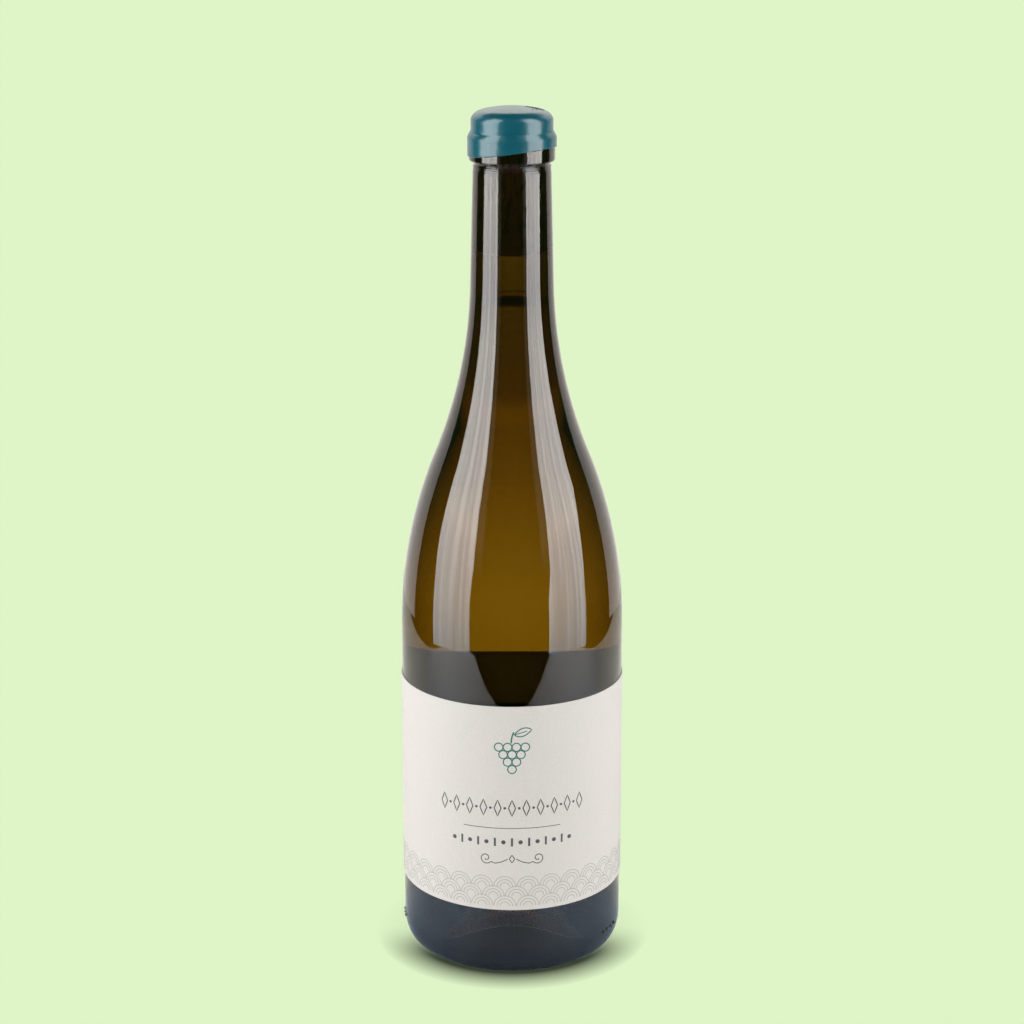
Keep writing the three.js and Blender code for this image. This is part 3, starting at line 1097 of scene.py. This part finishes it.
def calculate(tree, operation, *values):
    """A sum, product and the like of plain values and nodes' outputs."""
    node = tree.nodes.new("ShaderNodeMath")
    node.operation = operation
    for socket, value in zip(node.inputs, values):
        if isinstance(value, (int, float)):
            socket.default_value = value
        else:
            tree.links.new(value, socket)
    return node.outputs["Value"]


def glow_shader(tree, colour, strength):
    """A glow whose strength is a node's output, and whose colour is one too or a plain colour."""
    node = tree.nodes.new("ShaderNodeEmission")
    if isinstance(colour, tuple):
        set_inputs(node, {"Color": (*colour, 1)})
    else:
        tree.links.new(colour, node.inputs["Color"])
    tree.links.new(strength, node.inputs["Strength"])
    return node.outputs["Emission"]


def floor_material():
    """Even pale green with a small soft shadow round the front of the foot."""
    material, tree, output = new_material("floor")
    reach = share_of_reach(tree, SHADOW_END)
    rise = fade(tree, reach, SHADOW_START / SHADOW_END, 1, 0, 1, "LINEAR")
    light = fade(tree, calculate(tree, "POWER", rise, SHADOW_CURVE), 0, 1, SHADOW_SHARE, 1, "LINEAR")
    forward = calculate(tree, "MULTIPLY", place_along(tree, "Y"), -1 / (SHADOW_FRONT * MM))
    weight = fade(tree, forward, -0.2, 1, SHADOW_SIDE, 1)
    loss = calculate(tree, "MULTIPLY", weight, calculate(tree, "SUBTRACT", 1, light))
    glow = glow_shader(tree, FLOOR_COLOUR, calculate(tree, "SUBTRACT", 1, loss))
    tree.links.new(glow, output.inputs["Surface"])
    return material


def floor_through_material():
    """The floor as it is seen through the glass, with its light and shade painted: dark under and close
    round the bottle, where the bottle's shadow falls.
    """
    material, tree, output = new_material("floor_through")
    colour = ramp(tree, share_of_reach(tree, THROUGH_REACH), THROUGH_STOPS)
    strength = fade(tree, distance_aside(tree), 0, THROUGH_SIDE_REACH * MM, 1, THROUGH_SIDE)
    tree.links.new(glow_shader(tree, colour, strength), output.inputs["Surface"])
    return material


def table_material():
    """What the bottle mirrors of the table, with its light and shade painted: shaded and bluish close by,
    pale further out, darker near the line through the bottle and the camera, and a painted glow behind
    the bottle.
    """
    material, tree, output = new_material("table")
    colour = ramp(tree, share_of_reach(tree, TABLE_REACH), TABLE_STOPS)
    back = place_along(tree, "Y")
    behind = tree.nodes.new("ShaderNodeMix")
    behind.data_type = "RGBA"
    change = fade(tree, back, TABLE_BEHIND_FROM * MM, TABLE_BEHIND_TO * MM, 0, 1)
    tree.links.new(change, behind.inputs["Factor"])
    tree.links.new(colour, behind.inputs["A"])
    set_inputs(behind, {"B": (*TABLE_BEHIND, 1)})
    shaded = tree.nodes.new("ShaderNodeVectorMath")
    shaded.operation = "SCALE"
    tree.links.new(behind.outputs["Result"], shaded.inputs[0])
    share = fade(tree, distance_aside(tree), 0, TABLE_SIDE_REACH * MM, TABLE_MIDDLE, TABLE_SIDE)
    tree.links.new(share, shaded.inputs["Scale"])
    matte = tree.nodes.new("ShaderNodeBsdfDiffuse")
    tree.links.new(shaded.outputs["Vector"], matte.inputs["Color"])
    strength = fade(tree, back, TABLE_GLOW_FROM * MM, TABLE_GLOW_TO * MM, 0, TABLE_GLOW_STRENGTH)
    both = tree.nodes.new("ShaderNodeAddShader")
    tree.links.new(matte.outputs["BSDF"], both.inputs[0])
    tree.links.new(glow_shader(tree, TABLE_GLOW, strength), both.inputs[1])
    tree.links.new(both.outputs["Shader"], output.inputs["Surface"])
    return material


def bounce_material():
    """A plain pale sheet that gives matte surfaces the light from below."""
    material, tree, output = new_material("table_bounce")
    shader(tree, output, {"Base Color": (*BOUNCE_COLOUR, 1), "Roughness": 1.0})
    return material


def wall_material(name, stops, streaks=0.0):
    """A glowing wall whose radiance follows stops of height in millimetres and colour."""
    material, tree, output = new_material(name)
    top = stops[-1][0]
    height = fade(tree, place_along(tree, "Z"), 0, top * MM, 0, 1, "LINEAR")
    colour = ramp(tree, height, [(h / top, radiance) for h, radiance in stops])
    streak = noise(tree, STREAK_SCALE, stretch=(1, 1, 0.05))
    strength = fade(tree, streak, 0.3, 0.7, 1 - streaks, 1 + streaks)
    tree.links.new(glow_shader(tree, colour, strength), output.inputs["Surface"])
    return material


def lamp_panel(name, turn, radiance):
    """A tall lamp for matte surfaces, on the floor, facing the bottle from a turn."""
    light = bpy.data.lights.new(name, "AREA")
    light.shape = "RECTANGLE"
    light.size = LAMP_WIDTH * MM
    light.size_y = LAMP_HEIGHT * MM
    light.energy = radiance * math.pi * light.size * light.size_y
    lamp = bpy.data.objects.new(name, light)
    bpy.context.scene.collection.objects.link(lamp)
    lamp.location = Vector(on_circle(LAMP_DISTANCE, turn, LAMP_HEIGHT / 2)) * MM
    towards = Vector((-math.sin(turn), math.cos(turn), 0))
    lamp.rotation_euler = towards.to_track_quat("-Z", "Y").to_euler()
    hide_from(lamp, "camera", "transmission", "glossy")


floor = flat_sheet("floor", WHOLE_FLOOR, 0, floor_material())
hide_from(floor, "glossy", "diffuse", "shadow", "transmission")

floor_through = flat_sheet("floor_through", WHOLE_FLOOR, THROUGH_HEIGHT, floor_through_material())
hide_from(floor_through, "camera", "glossy", "diffuse", "shadow")

table = flat_sheet("table", TABLE_AREA, TABLE_HEIGHT, table_material())
hide_from(table, "camera", "transmission", "diffuse", "shadow")

bounce = flat_sheet("table_bounce", TABLE_AREA, BOUNCE_HEIGHT, bounce_material())
hide_from(bounce, "camera", "transmission", "glossy", "shadow")

box_look = wall_material("softbox", BOX_STOPS, streaks=BOX_STREAKS)
glow_look = wall_material("box_glow", GLOW_STOPS)
room_look = wall_material("room", ROOM_STOPS)
back_look = wall_material("back_wall", BACK_STOPS)
for name, radius, starts, ends, look in (
    ("softbox_left", BOX_RADIUS, LEFT_BOX_STARTS, LEFT_BOX_ENDS, box_look),
    ("softbox_right", BOX_RADIUS, RIGHT_BOX_STARTS, RIGHT_BOX_ENDS, box_look),
    ("glow_left", BOX_RADIUS, LEFT_BOX_ENDS, upright(-FRONT_END), glow_look),
    ("glow_right", BOX_RADIUS, upright(FRONT_END), RIGHT_BOX_STARTS, glow_look),
    ("room_front", ROOM_RADIUS, upright(-FRONT_END), upright(FRONT_END), room_look),
    ("room_left", ROOM_RADIUS, upright(-BACK_START), upright(LEFT_ROOM_END), room_look),
    ("room_right", ROOM_RADIUS, upright(RIGHT_ROOM_START), upright(BACK_START), room_look),
    ("back_wall", BACK_RADIUS, upright(BACK_START), upright(360 - BACK_START), back_look),
):
    wall = curved_wall(name, radius, starts, ends, look)
    hide_from(wall, "camera", "transmission", "shadow", "diffuse")

lamp_panel("lamp_left", -LAMP_TURN, LAMP_LEFT_RADIANCE)
lamp_panel("lamp_right", LAMP_TURN, LAMP_RIGHT_RADIANCE)

world = bpy.data.worlds.new("studio")
world.use_nodes = True
world.node_tree.nodes["Background"].inputs["Color"].default_value = (*WORLD_COLOUR, 1)
bpy.context.scene.world = world

camera_data = bpy.data.cameras.new("camera")
camera_data.lens = CAMERA_LENS
camera_data.sensor_width = CAMERA_SENSOR
camera = bpy.data.objects.new("camera", camera_data)
bpy.context.scene.collection.objects.link(camera)
camera.location = Vector(CAMERA_PLACE) * MM
camera.rotation_euler = (math.pi / 2 - CAMERA_DOWN, 0, 0)
bpy.context.scene.camera = camera
bpy.context.scene.view_settings.view_transform = "Standard"
